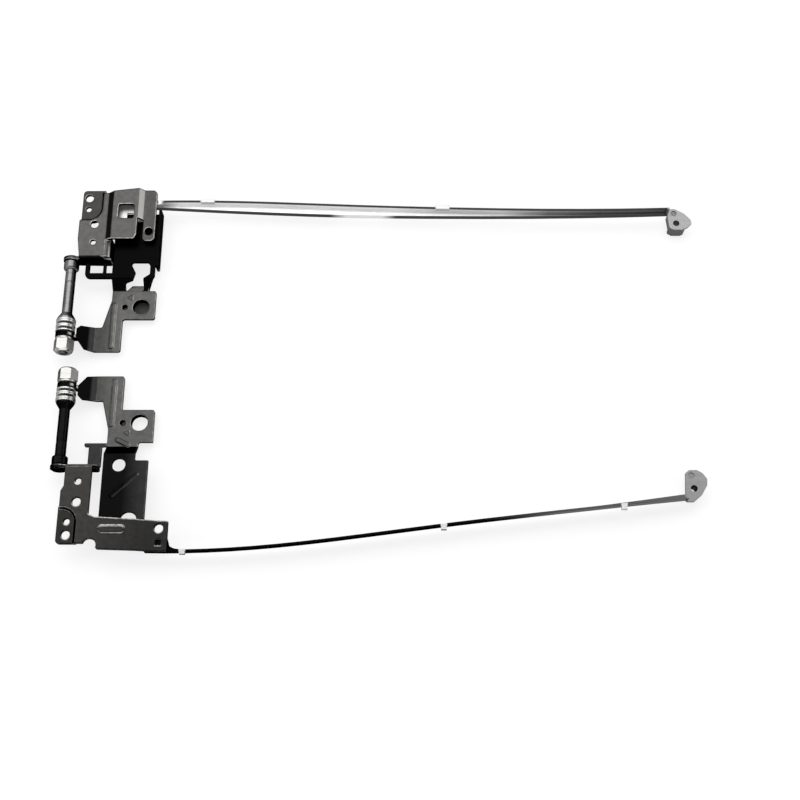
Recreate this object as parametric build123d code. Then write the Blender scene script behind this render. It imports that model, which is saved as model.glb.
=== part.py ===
from build123d import *
import os

# Sheet stock, in millimetres
base_sheet = 1.2
screen_sheet = 1.2
rail_sheet = 0.7
bend_radius = 0.5
corner_radius = 0.8
small_corner = 0.35

# Shaft radii and lengths
shaft_height = 4.0
stub_radius = 1.6
stub_tip = 0.4
shoulder_radius = 3.1
taper_length = 2.6
body_radius = 1.85
groove_depth = 0.2
groove_width = 0.5
groove_from_collar = 5.3
collar_radius = 2.7
collar_length = 3.5
collar_start = 35.0
collar_round = 0.75
tail_radius = 1.4
tail_head_radius = 2.2
tail_head = 0.5

# Nut, washers and springs on the stub; the nut starts this far from the middle of the pair
nut_start = 3.1
nut_length = 4.6
nut_flats = 6.2
nut_chamfer = 0.9
nut_washer_thick = 0.7
friction_washer_thick = 0.5
friction_radius = 3.2
spring_count = 4
spring_thick = 0.5
spring_dish = 0.45
washer_radius = 3.4
shoulder_washer_thick = 0.8
running_gap = 0.05
stack_gap = 0.03

# How much further to the right the left hinge lies
left_shift = 2.5

# Base bracket; across is measured from the shaft axis
lug_radius = 3.3
arm_past_lug = 4.3
arm_width = 9.2
arm_foot = 9.8
arm_right = 19.2
arm_shoulder = 2.4
ramp_end = 3.8
ramp_drop = 0.3
ramp_cut = 2.6
tab_from_arm = 12.5
tab_width = 11.0
tab_right = 30.6
joggle_run = 3.6
left_joggle_delay = 2.4
upper_left = 14.9
upper_right = 30.2
upper_reach = 29.3
notch_left = 25.6
notch_length = 8.4
skirt_sheet = 1.0
skirt_past = 1.8
bar_width = 2.0
left_bar_width = 1.2
bar_left = 5.2
leg_width = 1.5
post_place = 11.6
post_width = 1.0
frame_corner = 1.8
stem_left = 8.8
stem_right = 13.2
stop_gap = 0.6
big_hole = 2.95
big_hole_from_right = 5.1
big_hole_from_outer = 4.7
pin_hole = 1.0
pin_hole_spacing = 5.8
drawn_depth = 1.6
drawn_wall = 0.6
round_hole = 2.3
round_hole_from_left = 5.4
round_hole_from_joggle = 4.0
edge_hole = 2.8
edge_hole_from_right = 5.3
window_left = 19.7
window_right = 28.5
window_lobe = 23.3
window_length = 9.9
strap_left = 26.2
strap_width = 1.6
hump_reach = 2.0
hump_slope = 2.2
triangle_side = 2.6
triangle_height = 0.2
triangle_line = 0.5

# Screen bracket; heights from the shaft axis, lengths from the outer face of its flange
plate_rise = 3.5
lobe_drop = 1.0
box_rise = 1.3
box_step_run = 2.2
strip_drop = 0.3
foot_drop = 0.6
step_run = 1.5
lid_gap = 0.4
swing_gap = 0.6
flange_bottom = 0.5
flange_past_plate = 1.2
side_bend = 2.0
ear_radius = 3.0
plate_left = 2.2
plate_kink = 0.9
kink_place = 6.5
plate_right = 12.1
plate_length = 26.4
lobe_length = 11.6
right_lobe_left = 2.6
left_lobe_left = 1.7
right_lobe_right = 9.5
left_lobe_right = 7.4
lobe_curve = 4.2
lobe_round = 1.4
box_start = 5.9
box_right = 23.3
slot_width = 1.9
slot_length = 8.6
foot_right = 29.6
foot_corner = 1.0
window_from_end = 12.3
box_window = 5.8
box_window_left = 16.2
strip_start_in = 9.2
strip_past_plate = 2.6
strip_left = 14.2
strip_right = 38.8
strip_step = 28.4
arch_radius = 2.2
dimple = 2.0
dimple_depth = 0.4
screw_hole = 1.5
dowel_hole = 1.05
hole_column = 7.8
lobe_hole_column = 4.9
first_dowel = 5.0
first_screw = 12.2
second_dowel_in = 7.6
second_screw_in = 3.1
right_foot_hole_in = 2.2
right_foot_hole_up = 9.7
left_foot_hole_in = 3.0
left_foot_hole_back = 7.8

# Rails; bends are pairs of a share of the length and how far the rail has come inwards there
rail_height = 3.0
ledge_lip = 1.8
right_rail_start = 26.0
right_rail_length = 191.0
right_rail_in = 3.6
right_rail_bend = [(0, 0), (0.23, 0.4), (0.39, 1.6), (0.54, 2.5), (0.79, 3.3), (1, 2.8)]
right_ledge = [0.4, 2.3, 2.2, 1.7, 0.8, 0.3]
left_rail_start = 31.0
left_rail_length = 182.0
left_rail_in = 0.3
left_rail_bend = [(0, 0), (0.22, 1.5), (0.52, 8.2), (0.77, 13.6), (1, 18.1)]
left_ledge = [0.3, 0.3, 0.3, 0.4, 1.5]
root_reach = 8.4
root_slot = 2.4
root_slot_across = 3.9
root_slot_along = 2.1
hook_lip = 1.6
right_hook_reach = 0.3
right_hook_length = 5.0
right_hooks = (0.115, 0.565)
left_hook_reach = 1.0
left_hook_length = 1.9
left_hooks = (0.07, 0.547, 0.88)

# End tabs of the rails; their outline is given in shares of width and reach
tab_outer_side = [(0, 0), (0.36, 0), (0.72, 0.22), (0.97, 0.52), (1, 0.72)]
tab_free_end = [(0.82, 0.9), (0.6, 1), (0.24, 1), (0.08, 0.9)]
tab_overlap = 0.8
tab_outside = 0.6
right_tab_width = 8.9
left_tab_width = 8.0
right_tab_reach = 8.4
left_tab_reach = 11.2
turned_width = 6.4
turned_length = 1.6
side_wall = 6.0
tab_hole = 1.15
tab_hole_in = 3.3
right_tab_hole = 5.8
left_tab_hole = 4.7
tab_dimple = 1.1
tab_dimple_in = 2.6
tab_dimple_depth = 0.3
right_tab_dimple = 1.8
left_tab_dimple = 9.2

# Formed ribs
rib_width = 1.8
long_rib_width = 1.4
rib_height = 0.35
arm_rib_from_right = 3.3
strip_rib_length = 6.2
strip_rib_width = 2.8

# Places along the shaft that follow from the stack
nut_stop = nut_start + nut_length
nut_washer_start = nut_stop + stack_gap
outer_friction_start = nut_washer_start + nut_washer_thick + stack_gap
lug_start = outer_friction_start + friction_washer_thick + stack_gap
lug_stop = lug_start + base_sheet
inner_friction_start = lug_stop + stack_gap
spring_pitch = spring_thick + spring_dish + stack_gap
spring_start = inner_friction_start + friction_washer_thick + stack_gap
shoulder_washer_start = spring_start + spring_count * spring_pitch
shoulder_start = shoulder_washer_start + shoulder_washer_thick + stack_gap
taper_stop = shoulder_start + taper_length
groove_start = collar_start - groove_from_collar
collar_stop = collar_start + collar_length
flange_stop = collar_stop + screen_sheet

# Places of the base bracket
arm_outer = lug_start - arm_past_lug
arm_inner = arm_outer + arm_width
tab_outer = arm_outer + tab_from_arm
tab_inner = tab_outer + tab_width
joggle_stop = tab_inner + joggle_run
left_joggle_start = tab_inner + left_joggle_delay
upper_end = tab_inner + upper_reach
notch_end = tab_inner + notch_length
big_hole_place = (tab_right - big_hole_from_right, tab_outer + big_hole_from_outer)
web_right = upper_left - swing_gap

# Places of the screen bracket
plate_end = flange_stop + plate_length
strip_end = plate_end + strip_past_plate
second_dowel_place = plate_end - second_dowel_in
second_screw_place = plate_end - second_screw_in

# Heights
plate_top = shaft_height + plate_rise
foot_top = plate_top - foot_drop
root_top = foot_top - screen_sheet
rail_bottom = root_top - rail_height
ledge_top = rail_bottom + rail_sheet
upper_top = root_top - rail_sheet - lid_gap
ramp_top = shaft_height - ramp_drop
lobe_top = plate_top - lobe_drop
tall = 4 * plate_top


def plate(points, low, high, radius=0):
    """A flat sheet with the given outline between two heights, its corners rounded if asked."""
    outline = Polygon(*points, align=None)
    if radius:
        outline = fillet(outline.vertices(), radius)
    return Pos(0, 0, low) * extrude(outline, amount=high - low, dir=(0, 0, 1))


def along_shaft(section, start, stop):
    """Extrude a section drawn across the shaft from one place along it to another."""
    return extrude(Plane.XZ.offset(-start) * section, amount=stop - start, dir=(0, 1, 0))


def across_shaft(section, start, stop):
    """Extrude a section drawn in the plane of the shaft from left to right."""
    return extrude(Plane.YZ.offset(start) * section, amount=stop - start, dir=(1, 0, 0))


def folded(top_line, thickness):
    """Section of a sheet that follows the given top line, with its bends rounded."""
    bottom_line = [(place, height - thickness) for place, height in reversed(top_line)]
    section = Polygon(*top_line, *bottom_line, align=None)
    first = top_line[0][0]
    last = top_line[-1][0]
    bends = [v for v in section.vertices() if first + 0.01 < v.X < last - 0.01]
    return fillet(bends, bend_radius)


def hole(place, radius):
    """A long upright cutter."""
    return Pos(place[0], place[1], 0) * Cylinder(radius, tall)


def rib(start, stop, width, base):
    """A raised rib with sloping sides between the centres of its round ends."""
    run = Vector(stop[0] - start[0], stop[1] - start[1], 0)
    turn = Vector(1, 0, 0).get_signed_angle(run, Vector(0, 0, 1))
    slot = SlotCenterToCenter(run.length, width)
    middle = Pos((start[0] + stop[0]) / 2, (start[1] + stop[1]) / 2, base)
    return middle * Rot(0, 0, turn) * extrude(slot, amount=rib_height, taper=35)


def on_axis(sketch):
    """Move a sketch drawn about the shaft axis to the height of that axis."""
    return Pos(0, shaft_height) * sketch


def turned(section):
    """A solid turned about the shaft axis from a section drawn with radius and place."""
    return Pos(0, 0, shaft_height) * revolve(section, Axis.Y)


def washer(outer, start, thick):
    """Flat washer with a running fit on the stub."""
    section = on_axis(Circle(outer) - Circle(stub_radius + running_gap))
    return along_shaft(section, start, start + thick)


def shaft():
    """Turned pin with stub, tapered shoulder, grooved body, collar and peened tail."""
    outline = [
        (0, nut_start - stub_tip),
        (stub_radius - stub_tip / 2, nut_start - stub_tip),
        (stub_radius, nut_start),
        (stub_radius, shoulder_start),
        (shoulder_radius, shoulder_start),
        (shoulder_radius, shoulder_start + taper_length / 4),
        (body_radius, taper_stop),
        (body_radius, groove_start),
        (body_radius - groove_depth, groove_start),
        (body_radius - groove_depth, groove_start + groove_width),
        (body_radius, groove_start + groove_width),
        (body_radius, collar_start),
        (collar_radius, collar_start),
        (collar_radius, collar_stop),
        (tail_radius, collar_stop),
        (tail_radius, flange_stop),
        (tail_head_radius, flange_stop),
        (tail_head_radius, flange_stop + tail_head),
        (0, flange_stop + tail_head),
    ]
    section = Polygon(*outline, align=None)
    rims = [v for v in section.vertices() if v.Y > collar_start - 0.01 and v.X > collar_radius - 0.01]
    return turned(fillet(rims, collar_round))


def hex_nut():
    """Hexagon nut with a chamfered outer end."""
    corner = nut_flats / 3 ** 0.5
    blank = along_shaft(on_axis(RegularPolygon(corner, 6)), nut_start, nut_stop)
    cone = Polygon(
        (0, nut_start),
        (corner - nut_chamfer, nut_start),
        (corner, nut_start + nut_chamfer),
        (corner, nut_stop),
        (0, nut_stop),
        align=None,
    )
    bore = on_axis(Circle(stub_radius + running_gap))
    return (blank & turned(cone)) - along_shaft(bore, 0, collar_start)


def disc_spring(number):
    """Dished ring; each next one is turned the other way round."""
    start = spring_start + number * spring_pitch
    inner = stub_radius + running_gap
    dish_in = spring_dish if number % 2 == 0 else 0
    dish_out = spring_dish - dish_in
    section = Polygon(
        (inner, start + dish_in),
        (washer_radius, start + dish_out),
        (washer_radius, start + dish_out + spring_thick),
        (inner, start + dish_in + spring_thick),
        align=None,
    )
    return turned(section)


def base_arm(reach):
    """Flat arm and tab of the base bracket, on the floor, up to where the sheet turns upwards."""
    outline = [
        (arm_foot, arm_outer),
        (arm_right, arm_outer),
        (arm_right, tab_outer),
        (tab_right, tab_outer),
        (tab_right, reach),
        (upper_left, reach),
        (upper_left, tab_inner - tab_width / 3),
        (arm_foot + arm_shoulder, arm_inner),
        (arm_foot, arm_inner),
    ]
    return plate(outline, 0, base_sheet, corner_radius)


def base_ramp():
    """Sloping end of the arm with the lug that stands on the shaft."""
    foot = arm_foot + arm_shoulder / 2
    line = [
        (ramp_end, ramp_top),
        (arm_foot, base_sheet),
        (foot, base_sheet),
    ]
    outline = [
        (ramp_end, lug_start),
        (ramp_end + ramp_cut, arm_outer + ramp_cut / 4),
        (arm_foot, arm_outer),
        (foot, arm_outer),
        (foot, arm_inner),
        (ramp_end + ramp_cut / 2, arm_inner),
        (ramp_end, arm_inner - ramp_cut / 2),
    ]
    slope = along_shaft(folded(line, base_sheet), arm_outer, arm_inner) & plate(outline, 0, tall)
    neck = Polygon(
        (0, shaft_height - lug_radius),
        (arm_foot, 0),
        (arm_foot, base_sheet),
        (ramp_end, ramp_top),
        (0, shaft_height + lug_radius),
        align=None,
    )
    face = neck + on_axis(Circle(lug_radius))
    face -= on_axis(Circle(stub_radius + running_gap))
    return slope + along_shaft(face, lug_start, lug_stop)


def raised_plate(joggle_start):
    """Plate that the sheet forms after it has turned upwards and level again."""
    line = [
        (tab_inner - tab_width / 3, base_sheet),
        (joggle_start, base_sheet),
        (joggle_start + joggle_run, upper_top),
        (upper_end, upper_top),
    ]
    return across_shaft(folded(line, base_sheet), upper_left, upper_right)


def stop_frame():
    """Flat stop of the right hinge: a small frame beside the raised plate."""
    near = joggle_stop
    bar = near + bar_width
    far = collar_stop - stop_gap
    join = upper_left + base_sheet
    leg_right = bar_left + leg_width
    post_right = post_place + post_width
    frame = Polygon(
        (bar_left, near),
        (join, near),
        (join, bar),
        (post_right, bar),
        (post_right, far),
        (post_place, far),
        (post_place, bar),
        (leg_right, bar),
        (leg_right, far),
        (bar_left, far),
        align=None,
    )
    outer_corner = frame.vertices().sort_by(lambda v: v.X + v.Y)[0]
    frame = fillet(outer_corner, frame_corner)
    inner_corners = [v for v in frame.vertices() if abs(v.Y - bar) < 0.01 and v.X < post_right + 0.01]
    frame = fillet(inner_corners, small_corner)
    return Pos(0, 0, upper_top - base_sheet) * extrude(frame, amount=base_sheet, dir=(0, 0, 1))


def stop_tee():
    """Flat stop of the left hinge: a T beside the arm."""
    bar = left_joggle_start
    near = bar - left_bar_width
    far = collar_stop - stop_gap
    join = upper_left + base_sheet
    outline = [
        (bar_left + bar_width, near),
        (join, near),
        (join, bar),
        (stem_right, bar),
        (stem_right, far),
        (stem_left, far),
        (stem_left, bar),
        (bar_left + bar_width, bar),
    ]
    return plate(outline, 0, base_sheet, small_corner)


def base_marks(reach):
    """Long rib of the arm and the small triangle beside the large hole."""
    across = arm_right - arm_rib_from_right
    rib_end = tab_inner - tab_width / 2
    long_rib = rib((across, arm_outer + rib_width), (across, rib_end), rib_width, base_sheet)
    place = Pos(big_hole_place[0] - big_hole - triangle_side / 3, reach - triangle_side, base_sheet)
    triangle = RegularPolygon(triangle_side / 2, 3, rotation=180)
    triangle -= RegularPolygon(triangle_side / 2 - triangle_line, 3, rotation=180)
    return long_rib + place * extrude(triangle, amount=triangle_height)


def drawn_collar(place, radius, top):
    """Ring of sheet that is drawn down to the floor around a hole, before the hole is cut."""
    upwards = (Align.CENTER, Align.CENTER, Align.MIN)
    ring = Cylinder(radius + drawn_wall, drawn_depth + top, align=upwards)
    return Pos(place[0], place[1], -drawn_depth) * ring


def with_holes(bracket):
    """Cut the holes that both base brackets share; the two in the tab have drawn collars."""
    pin_place = (big_hole_place[0] - pin_hole_spacing, big_hole_place[1])
    bracket += drawn_collar(big_hole_place, big_hole, small_corner)
    bracket += drawn_collar(pin_place, pin_hole, small_corner)
    bracket -= hole(big_hole_place, big_hole) + hole(pin_place, pin_hole)
    return bracket - hole((upper_right - edge_hole_from_right, upper_end), edge_hole)


def base_bracket_right():
    """Base bracket of the upper hinge, with a closed window and a skirt."""
    bracket = base_arm(tab_inner) + base_ramp() + raised_plate(tab_inner) + stop_frame()
    skirt_right = upper_right + skirt_sheet
    skirt_end = upper_end + skirt_past
    skirt = [
        (upper_right, notch_end),
        (skirt_right, notch_end),
        (skirt_right, skirt_end),
        (upper_right, skirt_end),
    ]
    bracket += plate(skirt, 0, upper_top)
    bracket += base_marks(tab_inner)
    window_end = tab_inner + window_length
    lobe_near = joggle_stop - corner_radius / 2
    lobe_far = joggle_stop + corner_radius * 3
    window = [
        (window_left, tab_inner),
        (strap_left, tab_inner),
        (strap_left, joggle_stop),
        (window_right, joggle_stop + corner_radius * 2),
        (window_right, window_end - corner_radius * 2),
        (window_right - corner_radius, window_end),
        (window_left + corner_radius * 2, window_end),
        (window_lobe, lobe_far),
        (window_lobe - corner_radius, lobe_near),
        (window_left, lobe_near - corner_radius),
    ]
    bracket -= plate(window, -tall, tall, corner_radius)
    hump = [
        (window_left, tab_inner - small_corner),
        (strap_left + small_corner, tab_inner - small_corner),
        (strap_left + small_corner, tab_inner + hump_reach),
        (window_left + hump_slope, tab_inner + hump_reach),
    ]
    bracket += plate(hump, 0, base_sheet)
    beyond = skirt_right + skirt_sheet
    strap_cut = [
        (strap_left + strap_width, tab_inner),
        (beyond, tab_inner),
        (beyond, notch_end),
    ]
    bracket -= plate(strap_cut, -tall, tall)
    return with_holes(bracket)


def base_bracket_left():
    """Base bracket of the lower hinge, with an open notch and a round hole."""
    bracket = base_arm(left_joggle_start) + base_ramp() + raised_plate(left_joggle_start) + stop_tee()
    bracket += base_marks(tab_inner)
    left_joggle_stop = left_joggle_start + joggle_run
    low = left_joggle_stop + upper_left / 2
    high = low + upper_left / 2
    rib_left = upper_left + rib_width * 2
    bracket += rib((upper_right - rib_width * 2, low), (rib_left, high), long_rib_width, upper_top)
    slant = tab_inner + rib_width
    bracket += rib((rib_left, tab_inner), (notch_left - rib_width * 2, slant), rib_width, base_sheet)
    far = tab_right + arm_right
    notch_near = tab_inner + corner_radius
    notch = [(notch_left, notch_near), (far, notch_near), (far, notch_end), (notch_left, notch_end)]
    bracket -= plate(notch, -tall, tall, corner_radius)
    round_place = (upper_left + round_hole_from_left, left_joggle_stop + round_hole_from_joggle)
    bracket -= hole(round_place, round_hole)
    return with_holes(bracket)


def screen_flange(flange_right):
    """Folded edge of the screen bracket with the ear that holds the shaft."""
    below_bend = plate_top - screen_sheet
    ear = Polygon(
        (0, shaft_height - ear_radius),
        (flange_right - corner_radius, flange_bottom),
        (flange_right, flange_bottom + corner_radius),
        (flange_right, below_bend - corner_radius),
        (plate_right, below_bend),
        (plate_left, below_bend),
        (0, shaft_height + ear_radius),
        align=None,
    )
    ear += on_axis(Circle(ear_radius))
    ear -= on_axis(Circle(tail_radius))
    bend = Polygon(
        (collar_stop, below_bend - screen_sheet),
        (collar_stop, plate_top),
        (flange_stop + screen_sheet, plate_top),
        (flange_stop + screen_sheet, below_bend),
        (flange_stop, below_bend),
        (flange_stop, below_bend - screen_sheet),
        align=None,
    )
    corner = bend.vertices().sort_by(lambda v: v.X - v.Y)[0]
    bend = fillet(corner, screen_sheet)
    flange = along_shaft(ear, collar_stop, flange_stop)
    return flange + across_shaft(bend, plate_left + plate_kink, plate_right)


def side_web():
    """Right edge of the upper bracket's plate, bent down beside the raised plate of the base."""
    low = flange_bottom + corner_radius
    inner = web_right - screen_sheet
    under = plate_top - screen_sheet
    bend = Polygon(
        (plate_right - screen_sheet, under),
        (plate_right - screen_sheet, plate_top),
        (web_right, plate_top),
        (web_right, low),
        (inner, low),
        (inner, under),
        align=None,
    )
    outside = bend.vertices().sort_by(lambda v: v.X + v.Y)[-1]
    bend = fillet(outside, side_bend)
    return along_shaft(bend, flange_stop - screen_sheet / 2, flange_stop + box_start + screen_sheet)


def with_lobe(bracket, lobe_left, lobe_right):
    """Sink the end of the four-hole plate, with a sloping step around it, and drill the plate."""
    end = plate_end
    start = end - lobe_length
    far = 2 * end
    sunk = Polygon(
        (-lobe_right, start),
        (lobe_right, start),
        (lobe_right, far),
        (-lobe_right, far),
        align=None,
    )
    corner = sunk.vertices().sort_by(lambda v: v.Y - v.X)[0]
    sunk = fillet(corner, lobe_curve)
    bracket -= Pos(0, 0, lobe_top) * extrude(sunk, amount=lobe_drop * 2, dir=(0, 0, 1), taper=-45)
    under = Polygon(
        (lobe_left, start - screen_sheet),
        (lobe_right + screen_sheet, start - screen_sheet),
        (lobe_right + screen_sheet, end),
        (lobe_left, end),
        align=None,
    )
    inner_corner = under.vertices().sort_by(lambda v: v.Y - v.X)[0]
    under = fillet(inner_corner, lobe_curve)
    bracket += Pos(0, 0, lobe_top - screen_sheet) * extrude(under, amount=screen_sheet, dir=(0, 0, 1))
    round_right = lobe_left + lobe_round
    round_near = end - lobe_round
    corner_cut = plate([(lobe_left, round_near), (round_right, end), (lobe_left, end)], -tall, tall)
    bracket -= corner_cut - hole((round_right, round_near), lobe_round)
    bracket -= hole((hole_column, flange_stop + first_dowel), dowel_hole)
    bracket -= hole((hole_column, flange_stop + first_screw), screw_hole)
    bracket -= hole((lobe_hole_column, second_dowel_place), dowel_hole)
    bracket -= hole((lobe_hole_column, second_screw_place), screw_hole)
    return bracket


def screen_bracket_right():
    """Upper bracket of the photograph: plate, lobe, box with a window, and foot."""
    box_top = plate_top + box_rise
    line = [
        (-plate_right, plate_top),
        (plate_right, plate_top),
        (plate_right + box_step_run, box_top),
        (box_right, box_top),
        (box_right + slot_width, foot_top),
        (foot_right + plate_right, foot_top),
    ]
    end = plate_end
    lobe_near = end - lobe_length - screen_sheet
    box_near = flange_stop + box_start
    slot_end = box_near + slot_length
    slot_right = box_right + slot_width
    outline = [
        (plate_left + plate_kink, flange_stop),
        (plate_right, flange_stop),
        (plate_right, box_near),
        (box_right - corner_radius, box_near),
        (box_right, box_near + corner_radius * 2),
        (box_right, slot_end),
        (slot_right, slot_end),
        (slot_right, box_near + foot_corner),
        (slot_right + foot_corner, box_near),
        (foot_right - foot_corner, box_near),
        (foot_right, box_near + foot_corner),
        (foot_right, end - foot_corner),
        (foot_right - foot_corner, end),
        (box_right, end),
        (right_lobe_right + screen_sheet, end - step_run),
        (right_lobe_right - screen_sheet, end),
        (right_lobe_left, end),
        (right_lobe_left, lobe_near + screen_sheet),
        (plate_left, lobe_near),
        (plate_left, flange_stop + kink_place),
    ]
    sheet = along_shaft(folded(line, screen_sheet), collar_stop, end + plate_length)
    bracket = (sheet & plate(outline, -tall, tall, small_corner)) + screen_flange(web_right) + side_web()
    window_near = end - window_from_end
    window_far = window_near + box_window
    window_side = box_window_left + box_window
    window = [
        (box_window_left, window_near),
        (window_side, window_near),
        (window_side, window_far),
        (box_window_left, window_far),
    ]
    bracket -= plate(window, -tall, tall, corner_radius)
    bracket -= hole((foot_right - right_foot_hole_in, flange_stop + right_foot_hole_up), screw_hole)
    return with_lobe(bracket, right_lobe_left, right_lobe_right)


def screen_bracket_left():
    """Lower bracket of the photograph: plate, lobe, and strip with an oblong rib."""
    strip_top = plate_top - strip_drop
    line = [
        (-plate_right, plate_top),
        (plate_right, plate_top),
        (plate_right + step_run, strip_top),
        (strip_step, strip_top),
        (strip_step + step_run, foot_top),
        (strip_right + plate_right, foot_top),
    ]
    end = plate_end
    strip_near = end - strip_start_in
    strip_far = strip_end
    kink = flange_stop + kink_place
    outline = [
        (plate_left + plate_kink, flange_stop),
        (plate_right, flange_stop),
        (plate_right, strip_near - corner_radius),
        (strip_left, strip_near),
        (strip_right, strip_near + step_run),
        (strip_right, strip_far),
        (strip_left + step_run, strip_far - step_run / 2),
        (strip_left, end),
        (plate_left, end),
        (plate_left, kink + plate_kink * 2),
        (plate_left + plate_kink, kink),
    ]
    sheet = along_shaft(folded(line, screen_sheet), collar_stop, end + plate_length)
    flange = screen_flange(plate_right + flange_past_plate)
    bracket = (sheet & plate(outline, -tall, tall, small_corner)) + flange
    rib_along = strip_far - left_foot_hole_back + rib_height
    rib_left = strip_left + strip_rib_width
    rib_right = rib_left + strip_rib_length
    bracket += rib((rib_left, rib_along), (rib_right, rib_along), strip_rib_width, strip_top)
    bracket -= hole((plate_right + arch_radius / 2, end + arch_radius / 4), arch_radius)
    foot_hole = (strip_right - left_foot_hole_in, strip_far - left_foot_hole_back)
    bracket -= hole(foot_hole, screw_hole)
    dimple_place = Pos(foot_hole[0], foot_hole[1] + dimple * 2.4, foot_top)
    bracket -= dimple_place * Box(dimple, dimple, dimple_depth * 2)
    return with_lobe(bracket, left_lobe_left, left_lobe_right)


def strip_between(near_path, far_path, low, high):
    """Solid between two smooth curves seen from above."""
    near = Spline(*near_path)
    far = Spline(*far_path)
    first = Line(near_path[0], far_path[0])
    last = Line(near_path[-1], far_path[-1])
    face = make_face([near, last, far, first])
    return Pos(0, 0, low) * extrude(face, amount=high - low, dir=(0, 0, 1))


def rail_at(bend, share):
    """How far the rail has come inwards at a share of its length, between its bend points."""
    for first, second in zip(bend, bend[1:]):
        if share <= second[0]:
            part = (share - first[0]) / (second[0] - first[0])
            return first[1] + part * (second[1] - first[1])
    return bend[-1][1]


def hook(across, along, reach, length):
    """Small hook turned outwards and down from the top edge of a rail."""
    middle = (Align.CENTER, Align.MIN, Align.MAX)
    top = Pos(across, along, root_top) * Box(length, reach + rail_sheet, rail_sheet, align=middle)
    lip = Pos(across, along + reach, root_top) * Box(length, rail_sheet, hook_lip, align=middle)
    return top + lip


def tab_face(left, along, width, reach):
    """Outline of an end tab, seen from above."""
    shares = tab_outer_side + tab_free_end
    points = [(left + across * width, along - inwards * reach) for across, inwards in shares]
    return fillet(Polygon(*points, align=None).vertices(), corner_radius)


def end_tab(face):
    """Flat tab at the end of a rail."""
    return Pos(0, 0, rail_bottom) * extrude(face, amount=rail_sheet, dir=(0, 0, 1))


def turned_edge(face, left, free_end):
    """Turned-down edge of the upper tab: down to the floor at its free end, less far along its left side."""
    edge = face - offset(face, amount=-rail_sheet)
    corner = (Align.MIN, Align.MIN)
    end_part = edge & Pos(left, free_end) * Rectangle(turned_width, turned_length, align=corner)
    side_part = edge & Pos(left, free_end) * Rectangle(turned_length, side_wall, align=corner)
    deep = Pos(0, 0, -drawn_depth) * extrude(end_part, amount=drawn_depth + ledge_top, dir=(0, 0, 1))
    return deep + extrude(side_part, amount=ledge_top, dir=(0, 0, 1))


def with_tab_hole(solid, tab_left, along, hole_reach, dimple_reach):
    """Cut the screw hole of an end tab, with a drawn collar, and press the round dimple."""
    place = (tab_left + tab_hole_in, along - hole_reach)
    solid += drawn_collar(place, tab_hole, ledge_top)
    solid -= hole(place, tab_hole)
    dimple_place = Pos(tab_left + tab_dimple_in, along - dimple_reach, ledge_top)
    return solid - dimple_place * Cylinder(tab_dimple, 2 * tab_dimple_depth)


def rail(start, length, line, bend, ledge, root):
    """Formed strip: upright wall, ledge along its foot with a lip turned down, and root plate."""
    outer = [(start + share * length, line - inwards) for share, inwards in bend]
    inner = [(across, along - rail_sheet) for across, along in outer]
    middle = [(across, along - rail_sheet / 2) for across, along in outer]
    edge = [(place[0], place[1] - width) for place, width in zip(inner, ledge)]
    lip = [(across, along + rail_sheet / 2) for across, along in edge]
    solid = strip_between(inner, outer, rail_bottom, root_top)
    solid += strip_between(edge, middle, rail_bottom, ledge_top)
    solid += strip_between(edge, lip, rail_bottom - ledge_lip, ledge_top)
    return solid + plate(root, root_top - rail_sheet, root_top)


def hooks(start, length, line, bend, places, reach, hook_length):
    """All the hooks of one rail, each starting in the middle of its wall."""
    solid = []
    for share in places:
        along = line - rail_at(bend, share) - rail_sheet / 2
        solid.append(hook(start + share * length, along, reach, hook_length))
    return solid


def rail_right():
    """Rail of the upper hinge, with its wide lens-shaped ledge."""
    line = plate_end - right_rail_in
    inner = line - rail_sheet * 2
    left = box_window_left - step_run
    right = foot_right - corner_radius
    near = line - root_reach
    root = [
        (left, near),
        (right, near),
        (right, inner),
        (foot_right + step_run, inner),
        (foot_right + step_run * 2, line - rail_sheet / 2),
        (left, line - rail_sheet / 2),
    ]
    solid = rail(right_rail_start, right_rail_length, line, right_rail_bend, right_ledge, root)
    places = (right_rail_start, right_rail_length, line, right_rail_bend, right_hooks)
    solid += hooks(*places, right_hook_reach, right_hook_length)
    tab_along = line - right_rail_bend[-1][1] + tab_outside
    tab_left = right_rail_start + right_rail_length - tab_overlap
    face = tab_face(tab_left, tab_along, right_tab_width, right_tab_reach)
    solid += end_tab(face) + turned_edge(face, tab_left, tab_along - right_tab_reach)
    solid = with_tab_hole(solid, tab_left, tab_along, right_tab_hole, right_tab_dimple)
    slot_place = Pos(box_window_left + root_slot_across, near + root_slot_along, root_top)
    return solid - slot_place * Box(root_slot, root_slot, rail_sheet * 3)


def rail_left():
    """Rail of the lower hinge, bent inwards, with a narrow ledge."""
    line = strip_end - left_rail_in
    left = strip_step + step_run
    near = line - root_reach / 2
    root = [
        (left, near),
        (strip_right, near),
        (strip_right + rail_sheet, line - rail_sheet * 2.5),
        (strip_right + root_reach / 4, line - rail_sheet * 1.5),
        (strip_right + root_reach / 2, line - rail_sheet),
        (left, line - rail_sheet / 2),
    ]
    solid = rail(left_rail_start, left_rail_length, line, left_rail_bend, left_ledge, root)
    places = (left_rail_start, left_rail_length, line, left_rail_bend, left_hooks)
    solid += hooks(*places, left_hook_reach, left_hook_length)
    tab_along = line - left_rail_bend[-1][1] + tab_outside
    tab_left = left_rail_start + left_rail_length - tab_overlap
    solid += end_tab(tab_face(tab_left, tab_along, left_tab_width, left_tab_reach))
    return with_tab_hole(solid, tab_left, tab_along, left_tab_hole, left_tab_dimple)


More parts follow.
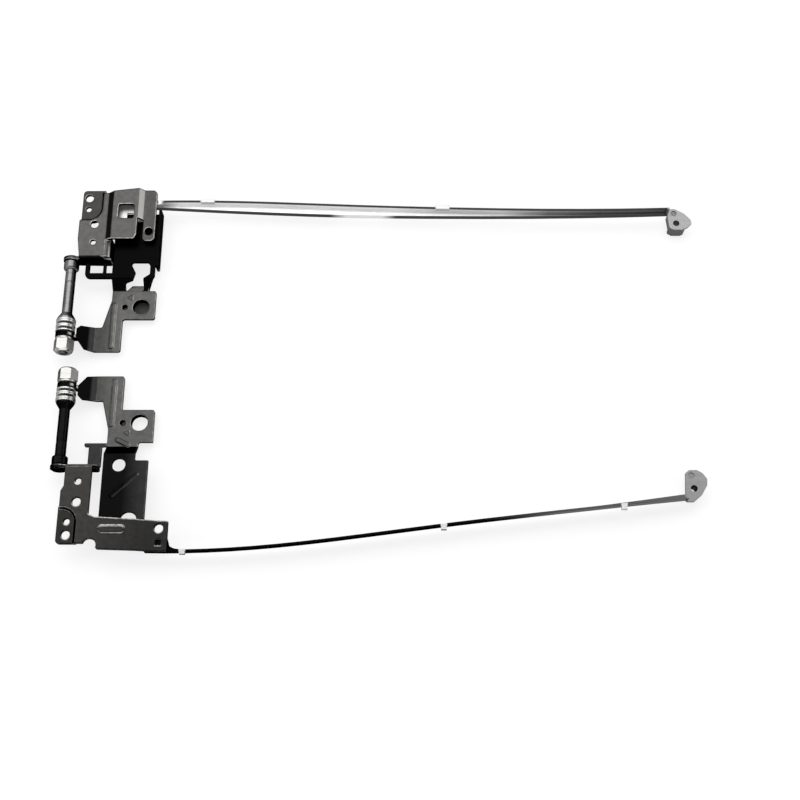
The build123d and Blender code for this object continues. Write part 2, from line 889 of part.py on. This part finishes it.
pieces = {
    "right_screen_bracket": screen_bracket_right(),
    "left_screen_bracket": screen_bracket_left(),
    "right_rail": rail_right(),
    "left_rail": rail_left(),
    "right_base_bracket": base_bracket_right(),
    "left_base_bracket": base_bracket_left(),
}
for side in ("right_", "left_"):
    pieces[side + "shaft"] = shaft()
    pieces[side + "hex_nut"] = hex_nut()
    pieces[side + "nut_washer"] = washer(friction_radius, nut_washer_start, nut_washer_thick)
    for place, start in (("outer", outer_friction_start), ("inner", inner_friction_start)):
        ring = washer(friction_radius, start, friction_washer_thick)
        pieces[side + place + "_friction_washer"] = ring
    thrust_ring = washer(washer_radius, shoulder_washer_start, shoulder_washer_thick)
    pieces[side + "shoulder_washer"] = thrust_ring
    for number in range(spring_count):
        pieces[side + "disc_spring_" + str(number + 1)] = disc_spring(number)

placed = {}
for name, piece in pieces.items():
    if name.startswith("left"):
        placed[name] = Pos(left_shift, 0, 0) * mirror(piece, about=Plane.XZ)
    else:
        placed[name] = piece

boxes = [piece.bounding_box() for piece in placed.values()]
left_end = min(box.min.X for box in boxes)
right_end = max(box.max.X for box in boxes)
near_end = min(box.min.Y for box in boxes)
far_end = max(box.max.Y for box in boxes)
floor = min(box.min.Z for box in boxes)
centre = Pos(-(left_end + right_end) / 2, -(near_end + far_end) / 2, -floor)

os.makedirs("parts", exist_ok=True)
for name, piece in placed.items():
    export_step(centre * piece, "parts/" + name + ".step")
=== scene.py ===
# %% [markdown]
# # A pair of laptop hinges
#
# The two steel hinges of a laptop lid lie on a white table. Each one has a black base bracket that is screwed
# to the keyboard half, a black screen bracket with a long thin rail along the edge of the screen, and a shaft
# that carries a nut, washers and disc springs. The solids come from the CAD model, so nothing is modelled
# twice here: the lesson is about edges, finishes and light.

# %% Load the solids
import math
import bmesh
import bpy
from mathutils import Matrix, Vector

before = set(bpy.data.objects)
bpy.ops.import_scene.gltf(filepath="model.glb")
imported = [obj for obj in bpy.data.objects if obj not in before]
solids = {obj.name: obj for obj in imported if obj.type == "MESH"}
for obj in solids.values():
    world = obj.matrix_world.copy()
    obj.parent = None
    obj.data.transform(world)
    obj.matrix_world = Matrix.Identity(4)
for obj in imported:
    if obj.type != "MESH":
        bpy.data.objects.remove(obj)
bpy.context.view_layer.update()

scene = bpy.context.scene

# %% [markdown]
# ## The camera
#
# The picture was taken from nearly overhead, leaning 20 degrees towards the near edge of the table. A camera
# can be aimed with a Track To constraint, but a fixed turn about X is simpler here, since the view leans one
# way only. The lens is a short telephoto, so the far hinge and the near hinge keep almost the same scale.

# %% Place the camera
camera_lean = math.radians(20)
distance = 0.4375
looked_at = Vector((0.00767, -0.01151, 0.0016))

camera_data = bpy.data.cameras.new("overhead_camera")
camera_data.sensor_width = 36.0
camera_data.lens = 56.25
camera_data.clip_start = 0.01
camera = bpy.data.objects.new("overhead_camera", camera_data)
camera.location = looked_at + distance * Vector((0.0, -math.sin(camera_lean), math.cos(camera_lean)))
camera.rotation_euler = (camera_lean, 0.0, 0.0)
scene.collection.objects.link(camera)
scene.camera = camera
print("camera at", [round(v, 3) for v in camera.location])

# %% [markdown]
# ## The table
#
# The hinges lie on plain white. A wide bmesh grid is enough for a table top. A lit white table greys with
# distance from the lamps, so further out its material turns into a white glow for the camera and for mirror
# rays. Near the hinges part of it stays ordinary diffuse white, which keeps their shadows on it, and right
# under three narrow holes all of it does, so that they look dark. Under the widest of the three a painted
# shadow, a dark floor colour, fills the inside of its collar.

# %% Make the table top
table_half_width = 4.0

table_mesh = bpy.data.meshes.new("white_table")
shape = bmesh.new()
bmesh.ops.create_grid(shape, x_segments=1, y_segments=1, size=table_half_width)
shape.to_mesh(table_mesh)
shape.free()
table = bpy.data.objects.new("white_table", table_mesh)
scene.collection.objects.link(table)
print("table of", len(table_mesh.polygons), "face")

# %% Measure distances on the table
table_white = bpy.data.materials.new("table_white")
table_white.use_nodes = True
nodes = table_white.node_tree.nodes
links = table_white.node_tree.links


def two_values(how, first, second):
    maths = nodes.new("ShaderNodeMath")
    maths.operation = how
    links.new(first, maths.inputs[0])
    links.new(second, maths.inputs[1])
    return maths.outputs["Value"]


def away_from(place, near, far, low, high):
    where_on_table = nodes.new("ShaderNodeTexCoord")
    away = nodes.new("ShaderNodeVectorMath")
    away.operation = "DISTANCE"
    away.inputs[1].default_value = place
    links.new(where_on_table.outputs["Object"], away.inputs[0])
    spread = nodes.new("ShaderNodeMapRange")
    for socket, number in {"From Min": near, "From Max": far, "To Min": low, "To Max": high}.items():
        spread.inputs[socket].default_value = number
    links.new(away.outputs["Value"], spread.inputs["Value"])
    return spread.outputs["Result"]


print("distances can be read in", table_white.name)

# %% Let the table glow for the camera and for mirrors
shadow_reach = 0.15
glow_reach = 0.5
glow_near_hinges = 0.75
hole_rim = 1.1
under_holes = {
    "far_screw": (-0.0858, 0.0247, 0.0033),
    "far_pin": (-0.0917, 0.0247, 0.0014),
    "near_pin": (-0.0892, -0.0193, 0.0014),
}

ray = nodes.new("ShaderNodeLightPath")
seen = two_values("MAXIMUM", ray.outputs["Is Camera Ray"], ray.outputs["Is Glossy Ray"])
seen = two_values("MAXIMUM", seen, ray.outputs["Is Transmission Ray"])
outwards = away_from((0.0, 0.0, 0.0), shadow_reach, glow_reach, glow_near_hinges, 1.0)
share = two_values("MULTIPLY", seen, outwards)
for across, along, reach in under_holes.values():
    outside = away_from((across, along, 0.0), reach, hole_rim * reach, 0.0, 1.0)
    share = two_values("MULTIPLY", share, outside)
print("no glow under", list(under_holes))

# %% Paint the table
white = (0.92, 0.92, 0.92, 1.0)
painted_hole_shadow = (0.07, 0.07, 0.07, 1.0)
floor_inside = 0.85
floor_outside = 0.9
first_colour = 6
second_colour = 7
mixed_colour = 2

# Painted shadow: a dark colour painted on the table inside the collar of the widest hole.
across, along, reach = under_holes["far_screw"]
outside = away_from((across, along, 0.0), floor_inside * reach, floor_outside * reach, 0.0, 1.0)
shadowed_hole_floor = nodes.new("ShaderNodeMix")
shadowed_hole_floor.data_type = "RGBA"
shadowed_hole_floor.inputs[first_colour].default_value = painted_hole_shadow
shadowed_hole_floor.inputs[second_colour].default_value = white
links.new(outside, shadowed_hole_floor.inputs["Factor"])
nodes.remove(nodes["Principled BSDF"])
matt = nodes.new("ShaderNodeBsdfDiffuse")
links.new(shadowed_hole_floor.outputs[mixed_colour], matt.inputs["Color"])
glow = nodes.new("ShaderNodeEmission")
blend = nodes.new("ShaderNodeMixShader")
links.new(share, blend.inputs["Fac"])
links.new(matt.outputs[0], blend.inputs[1])
links.new(glow.outputs[0], blend.inputs[2])
links.new(blend.outputs[0], nodes["Material Output"].inputs["Surface"])
table_mesh.materials.append(table_white)
print("table painted", table_white.name)

# %% [markdown]
# ## The light
#
# One wide soft box hangs beyond the hinges, where flat faces mirror it to the camera, so black sheet turns
# grey on top while its upright faces stay black. Rolled edges look past the hinges at the sides of the room:
# a long lamp in front and one on the right draw bright lines on them, and one on the left draws a streak
# along each shaft.

# %% Hang the lamps and set the room
def hang_lamp(name, width, depth, brightness, place, aimed_at):
    lamp_data = bpy.data.lights.new(name, "AREA")
    lamp_data.shape = "RECTANGLE"
    lamp_data.size = width
    lamp_data.size_y = depth
    lamp_data.energy = brightness * math.pi * width * depth
    lamp = bpy.data.objects.new(name, lamp_data)
    lamp.location = place
    lamp.rotation_euler = (Vector(aimed_at) - Vector(place)).to_track_quat("-Z", "Y").to_euler()
    scene.collection.objects.link(lamp)
    return lamp


table_middle = (0.0, 0.0, 0.0)
beyond_hinges = (-0.1, 0.15, 0.0)
room_grey = (0.50, 0.50, 0.50, 1.0)
lamps = [
    hang_lamp("soft_box", 1.6, 1.0, 2.5, (-0.1, 0.72, 1.0), beyond_hinges),
    hang_lamp("front_lamp", 2.0, 0.6, 2.5, (0.0, -1.3, 0.5), table_middle),
    hang_lamp("right_lamp", 0.8, 0.6, 3.0, (1.4, 0.5, 0.4), table_middle),
    hang_lamp("left_lamp", 0.6, 0.8, 3.0, (-1.2, 0.2, 0.9), table_middle),
]

room = bpy.data.worlds.new("grey_room")
room.use_nodes = True
room.node_tree.nodes["Background"].inputs["Color"].default_value = room_grey
scene.world = room
scene.view_settings.view_transform = "Standard"
print("lamps:", [lamp.name for lamp in lamps])

# %% [markdown]
# ## Small helpers for the finishes
#
# Every finish below starts in the same way: a Principled shader and the place on the piece, in metres. Metal
# mirrors more at a slanting view, and on black sheet that would turn upright faces grey, so `rim` tones that
# down. `grain` is noise of a size in millimetres, `between` turns any value into a clean mask, and `combine`
# and `mix_colour` join them.

# %% Start a finish and read the place on the piece
def new_finish(name, metal, rim):
    finish = bpy.data.materials.new(name)
    finish.use_nodes = True
    tree = finish.node_tree
    shader = tree.nodes["Principled BSDF"]
    shader.inputs["Metallic"].default_value = metal
    shader.inputs["Specular Tint"].default_value = (rim, rim, rim, 1.0)
    where = tree.nodes.new("ShaderNodeTexCoord")
    return finish, tree, shader, where


def part_of(tree, vector, letter):
    split = tree.nodes.new("ShaderNodeSeparateXYZ")
    tree.links.new(vector, split.inputs["Vector"])
    return split.outputs[letter]


def grain(tree, where, millimetres, stretch=(1, 1, 1), detail=3.0):
    fit = tree.nodes.new("ShaderNodeMapping")
    fit.inputs["Scale"].default_value = stretch
    noise = tree.nodes.new("ShaderNodeTexNoise")
    noise.inputs["Scale"].default_value = 1000.0 / millimetres
    noise.inputs["Detail"].default_value = detail
    tree.links.new(where.outputs["Object"], fit.inputs["Vector"])
    tree.links.new(fit.outputs["Vector"], noise.inputs["Vector"])
    return noise.outputs["Fac"]


print("a finish starts from its shader, its place and its grain")

# %% Join values into masks and colours
def between(tree, value, start, end, low=0.0, high=1.0):
    spread = tree.nodes.new("ShaderNodeMapRange")
    numbers = {"From Min": start, "From Max": end, "To Min": low, "To Max": high}
    for socket, number in numbers.items():
        spread.inputs[socket].default_value = number
    tree.links.new(value, spread.inputs["Value"])
    return spread.outputs["Result"]


def combine(tree, how, first, second):
    maths = tree.nodes.new("ShaderNodeMath")
    maths.operation = how
    for value, socket in zip((first, second), maths.inputs):
        if isinstance(value, float):
            socket.default_value = value
        else:
            tree.links.new(value, socket)
    return maths.outputs["Value"]


def mix_colour(tree, mask, first, second):
    mixer = tree.nodes.new("ShaderNodeMix")
    mixer.data_type = "RGBA"
    tree.links.new(mask, mixer.inputs["Factor"])
    for value, place in ((first, first_colour), (second, second_colour)):
        if isinstance(value, tuple):
            mixer.inputs[place].default_value = value + (1.0,)
        else:
            tree.links.new(value, mixer.inputs[place])
    return mixer.outputs[mixed_colour]


print("masks and colours can be joined")

# %% [markdown]
# ## Rounded edges in the shader
#
# Stamped sheet never has a razor edge: the press rolls one side over, and plating rounds it further. A Bevel
# modifier could do this, but the solids arrive as loose triangles with long diagonals, and a modifier creases
# them. The shader's Bevel node bends only the light near an edge. The way it leans there tells which side an
# edge is on, and that gives masks: edges on one side get a painted highlight, edges on the other painted
# shade.

# %% Bend the light at edges
def soft_edge(tree, millimetres):
    rounded = tree.nodes.new("ShaderNodeBevel")
    rounded.samples = 8
    rounded.inputs["Radius"].default_value = millimetres / 1000.0
    return rounded.outputs["Normal"]


def leaning(tree, rounded, way):
    face = tree.nodes.new("ShaderNodeNewGeometry")
    lean = tree.nodes.new("ShaderNodeVectorMath")
    lean.operation = "SUBTRACT"
    tree.links.new(rounded, lean.inputs[0])
    tree.links.new(face.outputs["True Normal"], lean.inputs[1])
    on_piece = tree.nodes.new("ShaderNodeVectorTransform")
    on_piece.vector_type = "VECTOR"
    on_piece.convert_from = "WORLD"
    on_piece.convert_to = "OBJECT"
    tree.links.new(lean.outputs["Vector"], on_piece.inputs["Vector"])
    along_way = tree.nodes.new("ShaderNodeVectorMath")
    along_way.operation = "DOT_PRODUCT"
    along_way.inputs[1].default_value = way
    tree.links.new(on_piece.outputs["Vector"], along_way.inputs[0])
    return along_way.outputs["Value"]


def rough_skin(tree, shader, height, strength, depth_mm, rounded):
    bump = tree.nodes.new("ShaderNodeBump")
    bump.inputs["Strength"].default_value = strength
    bump.inputs["Distance"].default_value = depth_mm / 1000.0
    tree.links.new(height, bump.inputs["Height"])
    tree.links.new(rounded, bump.inputs["Normal"])
    tree.links.new(bump.outputs["Normal"], shader.inputs["Normal"])


print("edges are rounded in the light, not in the mesh")

# %% [markdown]
# ## Black coat on the sheet brackets
#
# The brackets are blackened steel sheet: satin and slightly sandy. Black metal is a dark Metallic colour, so
# that its tone comes from what it mirrors. Painted highlights turn long bends and edges on one side grey,
# and painted shade makes steep faces and edges on the other side blacker; masks read the direction of the
# face.

# %% Make masks for the sheet
upward = (0.0, 0.0, 1.0)
flat_range = (0.84, 0.97)
bend_range = (0.45, 0.65)


def facing(tree, where, way):
    along_way = tree.nodes.new("ShaderNodeVectorMath")
    along_way.operation = "DOT_PRODUCT"
    along_way.inputs[1].default_value = way
    tree.links.new(where.outputs["Normal"], along_way.inputs[0])
    return along_way.outputs["Value"]


def flat_faces(tree, where):
    upwards = combine(tree, "ABSOLUTE", facing(tree, where, upward), 0.0)
    return between(tree, upwards, *flat_range)


# Painted highlight: a grey colour on bends that lean up and towards one side.
def painted_bend_highlight(tree, where, way):
    sideways = between(tree, facing(tree, where, way), *bend_range)
    upwards = between(tree, facing(tree, where, upward), *bend_range)
    return combine(tree, "MULTIPLY", sideways, upwards)


print("masks for flat faces and painted bend highlights")

# %% Mix the black coat
# Painted shade: black goes on steep faces, on shaded edges and where the shade masks darken the coat.
black = (0.0015, 0.0015, 0.0015)
# The grey below is the colour of the painted bend highlight.
bend_highlight_colour = (0.28, 0.275, 0.265)
coat_rim = 0.05
mottle_mm = 1.8
sand_mm = 0.25
sheet_edge_mm = 0.6
noise_range = (0.3, 0.7)
darker = 0.86
lighter = 1.14
# Edges leaning one way get painted shade, edges leaning the other a painted highlight with patches of wear.
shaded_lean = (-0.05, -0.3)
shaded_edge_share = 0.8
highlight_lean = (0.05, 0.25)
wear_range = (0.35, 0.65)
least_wear = 0.4
coat_roughness = (0.32, 0.44)


def black_coat(name, tone, highlight_side, wear_and_highlight_colour, bend_side, shade):
    finish, tree, shader, where = new_finish(name, 1.0, coat_rim)
    mottle = grain(tree, where, mottle_mm, detail=4.0)
    sand = grain(tree, where, sand_mm)
    rounded = soft_edge(tree, sheet_edge_mm)
    lit = shade(tree, where)
    # Painted shade: flat faces keep the tone, steep faces and the places the shade masks darken turn black.
    flat = combine(tree, "MULTIPLY", flat_faces(tree, where), lit)
    shades = tuple(darker * c for c in tone), tuple(lighter * c for c in tone)
    flat_tone = mix_colour(tree, between(tree, mottle, *noise_range), *shades)
    coat = mix_colour(tree, flat, black, flat_tone)
    # Painted highlight on the bends.
    coat = mix_colour(tree, painted_bend_highlight(tree, where, bend_side), coat, bend_highlight_colour)
    # Painted shade on edges that lean against the side, painted highlight and wear on edges that lean along
    # it.
    lean = leaning(tree, rounded, highlight_side)
    shaded_edge = between(tree, lean, *shaded_lean, 0.0, shaded_edge_share)
    coat = mix_colour(tree, shaded_edge, coat, black)
    patches = between(tree, mottle, *wear_range, least_wear, 1.0)
    wear_and_highlight_mask = combine(tree, "MULTIPLY", between(tree, lean, *highlight_lean), patches)
    wear_and_highlight_mask = combine(tree, "MULTIPLY", wear_and_highlight_mask, lit)
    tree.links.new(mix_colour(tree, wear_and_highlight_mask, coat, wear_and_highlight_colour), shader.inputs["Base Color"])
    tree.links.new(between(tree, sand, *noise_range, *coat_roughness), shader.inputs["Roughness"])
    rough_skin(tree, shader, sand, 0.2, 0.02, rounded)
    return finish


print("recipe of the black coat")

# %% [markdown]
# ## Where the coat is darker
#
# The raised plate of each base bracket lies under the screen bracket and is painted nearly black as shade,
# lighter only towards the right edge of the near one. The arms get painted shade towards the shaft, and so
# does the stop beside the near one. Sunk parts of the screen brackets get painted shade against their plates.
# The near one gets painted shade towards its free end and where it holds the shaft. Each of these is a mask
# on the place, so one recipe makes all three coats.

# %% Shade the base brackets
raised_height = (0.0031, 0.0037)
near_plate_right = (-0.0860, -0.0800)
near_plate_dark = (0.96, 0.70)
past_middle = (0.0, 0.001)
far_plate_dark = 0.99
stop_left = (-0.0930, -0.0945)
stop_near = (-0.0225, -0.0240)
stop_dark = 0.65
arm_left = (-0.0925, -0.0990)
arm_dark = 0.45


def on_axis(tree, where, letter, start, end, low=0.0, high=1.0):
    return between(tree, part_of(tree, where.outputs["Object"], letter), start, end, low, high)


# Painted shade on the base brackets: raised plates, the arms near the shaft and the stop beside the near arm.
def base_shade(tree, where):
    near_one = on_axis(tree, where, "X", *near_plate_right, *near_plate_dark)
    far_one = on_axis(tree, where, "Y", *past_middle, 0.0, far_plate_dark)
    raised = on_axis(tree, where, "Z", *raised_height)
    raised = combine(tree, "MULTIPLY", raised, combine(tree, "MAXIMUM", near_one, far_one))
    stop = on_axis(tree, where, "X", *stop_left, 0.0, stop_dark)
    stop = combine(tree, "MULTIPLY", stop, on_axis(tree, where, "Y", *stop_near))
    arm = on_axis(tree, where, "X", *arm_left, 0.0, arm_dark)
    dark = combine(tree, "MAXIMUM", combine(tree, "MAXIMUM", raised, stop), arm)
    return combine(tree, "SUBTRACT", 1.0, dark)


print("the base brackets are darker where they are raised")

# %% Shade the screen brackets
far_lobe_height = (0.0081, 0.0089)
far_lobe_lit = 0.5
free_end_side = (-0.0980, -0.0780)
free_end_lit = 0.60
near_sunk_side = (-0.1000, -0.0800)
near_sunk_dark = (0.35, 0.95)
near_sunk_height = (0.0084, 0.0082)
shaft_end_side = (-0.1078, -0.1066)
shaft_end_lit = 0.12


# Painted shade on the screen brackets: sunk lobes, and on the near one its free end, sunk recess and shaft
# end.
def far_shade(tree, where):
    return on_axis(tree, where, "Z", *far_lobe_height, far_lobe_lit, 1.0)


def near_shade(tree, where):
    free_end = on_axis(tree, where, "X", *free_end_side, 1.0, free_end_lit)
    sunk = on_axis(tree, where, "X", *near_sunk_side, *near_sunk_dark)
    sunk = combine(tree, "MULTIPLY", sunk, on_axis(tree, where, "Z", *near_sunk_height))
    shaft_end = on_axis(tree, where, "X", *shaft_end_side, shaft_end_lit, 1.0)
    lit = combine(tree, "MULTIPLY", free_end, combine(tree, "SUBTRACT", 1.0, sunk))
    return combine(tree, "MULTIPLY", lit, shaft_end)


print("the screen brackets are darker where they are sunk")

# %% Coat all four brackets
# Colours of the painted edge highlights, with their patches of wear.
bright_edge = (0.75, 0.74, 0.725)
dull_edge = (0.32, 0.315, 0.305)
# Painted shade: the near screen bracket gets a darker tone than the far one.
far_screen_tone = (0.064, 0.062, 0.061)
near_screen_tone = (0.034, 0.033, 0.032)
base_tone = (0.066, 0.065, 0.064)
to_right = (1.0, 0.0, 0.0)
far_side = (0.05, 1.0, 0.0)
near_right = (0.5, -0.85, 0.0)
right_near = (0.8, -0.6, 0.0)

far_screen_coat = black_coat(
    "far_screen_coat", far_screen_tone, near_right, bright_edge, to_right, far_shade
)
near_screen_coat = black_coat(
    "near_screen_coat", near_screen_tone, far_side, bright_edge, far_side, near_shade
)
base_coat = black_coat("base_coat", base_tone, right_near, dull_edge, to_right, base_shade)
print("black coats:", far_screen_coat.name, near_screen_coat.name, base_coat.name)

# %% [markdown]
# ## Steel of the rails
# Each rail is a thin formed strip. The far one is bare steel with painted light in its colour: a painted
# reflection makes the ledge bright and fades to grey along its length, and painted shade darkens its top edge
# and most of its lip. The near one has painted shade along most of its length and a painted sheen on its last
# third. Hooks and end tabs are bright. All of this changes along X and with height, so colour ramps on X and
# masks on Z carry it. The last third also mirrors more at a slant, so its rim follows a ramp too.

# %% Read tones along a rail
hook_height = (0.0055, 0.0058)
hook_core = 0.8


def tone_along(tree, where, stops):
    first, last = stops[0][0], stops[-1][0]
    ramp = tree.nodes.new("ShaderNodeValToRGB")
    marks = ramp.color_ramp.elements
    for place, tone in stops[1:-1]:
        marks.new((place - first) / (last - first)).color = (tone, tone, tone, 1.0)
    for mark, (place, tone) in ((marks[0], stops[0]), (marks[-1], stops[-1])):
        mark.color = (tone, tone, tone, 1.0)
    across = part_of(tree, where.outputs["Object"], "X")
    tree.links.new(between(tree, across, first, last), ramp.inputs["Fac"])
    return ramp.outputs["Color"]


def near_places(tree, where, places, reach):
    across = part_of(tree, where.outputs["Object"], "X")
    total = None
    for place in places:
        away = combine(tree, "ABSOLUTE", combine(tree, "SUBTRACT", across, place), 0.0)
        spot = between(tree, away, hook_core * reach, reach, 1.0, 0.0)
        total = spot if total is None else combine(tree, "MAXIMUM", total, spot)
    height = part_of(tree, where.outputs["Object"], "Z")
    return combine(tree, "MULTIPLY", total, between(tree, height, *hook_height))


print("tones along a rail and spots on it")

# %% Mix the rail steel
streak_dark = (0.02, 0.02, 0.02)
streak_share = 0.2
hook_bright = (0.48, 0.48, 0.47)
wall_top_height = (0.0068, 0.0071)
lip_height = (0.0049, 0.0046)
rail_edge_mm = 0.15
rail_roughness = (0.3, 0.42)


def rail_steel(name, metal, rim, stops, hooks, hook_reach, edge_stops):
    finish, tree, shader, where = new_finish(name, metal, rim)
    rolled = grain(tree, where, 0.6, (0.03, 1.0, 1.0), 4.0)
    speck = grain(tree, where, 0.3)
    rounded = soft_edge(tree, rail_edge_mm)
    streaks = between(tree, rolled, *wear_range, 0.0, streak_share)
    streaks = combine(tree, "MULTIPLY", streaks, speck)
    steel = mix_colour(tree, streaks, tone_along(tree, where, stops), streak_dark)
    height = part_of(tree, where.outputs["Object"], "Z")
    wall_top = between(tree, height, *wall_top_height)
    lip = between(tree, height, *lip_height)
    steel = mix_colour(tree, wall_top, steel, tone_along(tree, where, edge_stops[0]))
    steel = mix_colour(tree, lip, steel, tone_along(tree, where, edge_stops[1]))
    bright = near_places(tree, where, hooks, hook_reach)
    tree.links.new(mix_colour(tree, bright, steel, hook_bright), shader.inputs["Base Color"])
    tree.links.new(between(tree, speck, *noise_range, *rail_roughness), shader.inputs["Roughness"])
    rough_skin(tree, shader, speck, 0.2, 0.02, rounded)
    return finish


def rim_along(finish, stops):
    tree = finish.node_tree
    where = tree.nodes["Texture Coordinate"]
    shader = tree.nodes["Principled BSDF"]
    tree.links.new(tone_along(tree, where, stops), shader.inputs["Specular Tint"])


print("recipe of the rail steel")

# %% Finish the far rail
far_start = -0.097
far_rail_end = 0.1056
far_tab_start = 0.1059
far_stop = 0.116
# Painted reflection and shade along the far rail: ledge, top edge and lip tones change along X.
far_ledge = [
    (far_start, 0.60),
    (-0.078, 0.60),
    (-0.074, 0.92),
    (0.006, 0.92),
    (0.022, 0.75),
    (0.045, 0.72),
    (0.062, 0.28),
    (0.0815, 0.11),
    (far_rail_end, 0.04),
    (far_tab_start, 0.24),
    (far_stop, 0.24),
]
far_top = [
    (far_start, 0.60),
    (-0.0800, 0.60),
    (-0.0790, 0.02),
    (far_rail_end, 0.02),
    (far_tab_start, 0.24),
    (far_stop, 0.24),
]
far_lip = [
    (far_start, 0.03),
    (-0.018, 0.02),
    (-0.012, 0.70),
    (0.001, 0.70),
    (0.006, 0.03),
    (far_rail_end, 0.02),
    (far_tab_start, 0.08),
    (far_stop, 0.08),
]
far_hooks = (-0.0628, 0.0232)
far_edges = (far_top, far_lip)
far_rail_steel = rail_steel("far_rail_steel", 0.6, 0.5, far_ledge, far_hooks, 0.0028, far_edges)
print("bare rail:", far_rail_steel.name)

# %% Finish the near rail
near_start = -0.08
sheen_from = 0.036
sheen_full = 0.060
near_rail_end = 0.1037
near_tab_start = 0.1041
near_stop = 0.115
# Painted shade along most of the near rail, turning to a painted sheen over its last third.
near_ledge = [
    (near_start, 0.002),
    (sheen_from, 0.004),
    (sheen_full, 0.05),
    (near_rail_end, 0.085),
    (near_tab_start, 0.20),
    (near_stop, 0.22),
]
near_lip = [
    (near_start, 0.002),
    (sheen_from, 0.003),
    (sheen_full, 0.06),
    (near_rail_end, 0.10),
    (near_tab_start, 0.15),
    (near_stop, 0.15),
]
near_rim = [
    (near_start, coat_rim),
    (sheen_from, coat_rim),
    (sheen_full, 0.75),
    (near_rail_end, 0.75),
    (near_tab_start, coat_rim),
    (near_stop, coat_rim),
]
near_hooks = (-0.0645, 0.0223, 0.0829)
near_edges = (near_ledge, near_lip)
near_rail_steel = rail_steel(
    "near_rail_steel", 1.0, coat_rim, near_ledge, near_hooks, 0.0012, near_edges
)
rim_along(near_rail_steel, near_rim)
print("near rail with painted shade:", near_rail_steel.name)

# %% [markdown]
# ## Turned shafts
#
# The shafts were turned on a lathe, which leaves fine rings round them. The rings cross the axis, so the
# noise is squeezed along Y and stretched round the shaft. The far shaft is bare grey steel, and the near one
# is oiled black. The side of both that faces +X gets painted shade, darkened towards black by a mask on the
# direction of the face.

# %% Mix the shaft finishes
shaft_rim = 0.1
turned_edge_mm = 0.2
right_side_range = (0.25, 0.7)
glossier = 0.05
rougher = 0.08


def grey(tone):
    return (tone, tone, tone)


def turned_steel(name, dark, light, gloss, right_side_shade):
    finish, tree, shader, where = new_finish(name, 1.0, shaft_rim)
    rings = grain(tree, where, 0.5, (0.05, 1.0, 0.05))
    stain = grain(tree, where, 2.5, (1.0, 0.3, 1.0), 4.0)
    rounded = soft_edge(tree, turned_edge_mm)
    tone = combine(tree, "MULTIPLY", combine(tree, "ADD", rings, stain), 0.5)
    steel = mix_colour(tree, between(tree, tone, *noise_range), dark, light)
    # Painted shade: the side facing +X is darkened towards black.
    right_side_shaded = between(tree, facing(tree, where, to_right), *right_side_range, 0.0, right_side_shade)
    steel = mix_colour(tree, right_side_shaded, steel, black)
    roughness = between(tree, stain, *noise_range, gloss - glossier, gloss + rougher)
    tree.links.new(steel, shader.inputs["Base Color"])
    tree.links.new(roughness, shader.inputs["Roughness"])
    rough_skin(tree, shader, rings, 0.12, 0.01, rounded)
    return finish


far_shaft_steel = turned_steel("far_shaft_steel", grey(0.11), grey(0.22), 0.24, 0.95)
near_shaft_black = turned_steel("near_shaft_black", grey(0.002), grey(0.009), 0.22, 0.3)
print("shaft finishes:", far_shaft_steel.name, near_shaft_black.name)

# %% [markdown]
# ## Nickel, spring steel and friction rings
#
# The nut and plain washers are nickel plated. The disc springs are bare spring steel, a shade brighter, and
# the friction washers on each side of the lug are dark oiled steel. All are stamped or turned round the
# shaft, so they share the recipe of the shafts with other tones.

# %% Mix the hardware finishes
nickel_dark = (0.28, 0.275, 0.265)
nickel_light = (0.50, 0.495, 0.48)
spring_dark = (0.36, 0.36, 0.355)
spring_light = (0.62, 0.615, 0.605)

# The hardware gets the same painted shade on the side facing +X, with the strength given last.
nickel = turned_steel("nickel", nickel_dark, nickel_light, 0.28, 0.4)
spring_steel = turned_steel("spring_steel", spring_dark, spring_light, 0.26, 0.4)
friction_steel = turned_steel("friction_steel", grey(0.006), grey(0.02), 0.34, 0.3)
print("hardware finishes:", nickel.name, spring_steel.name, friction_steel.name)

# %% [markdown]
# ## Give each solid its finish
#
# A CAD solid keeps its mesh and only changes its material. The finish follows from the piece's name, so a
# short table of names is enough, and what is left is nickel hardware.

# %% Assign the finishes
finish_for = {
    "right_screen_bracket": far_screen_coat,
    "left_screen_bracket": near_screen_coat,
    "base_bracket": base_coat,
    "right_rail": far_rail_steel,
    "left_rail": near_rail_steel,
    "right_shaft": far_shaft_steel,
    "left_shaft": near_shaft_black,
    "disc_spring": spring_steel,
    "friction_washer": friction_steel,
}
for name, solid in solids.items():
    finish = next((f for words, f in finish_for.items() if words in name), nickel)
    solid.data.materials.clear()
    solid.data.materials.append(finish)
print("finishes given to", len(solids), "solids")
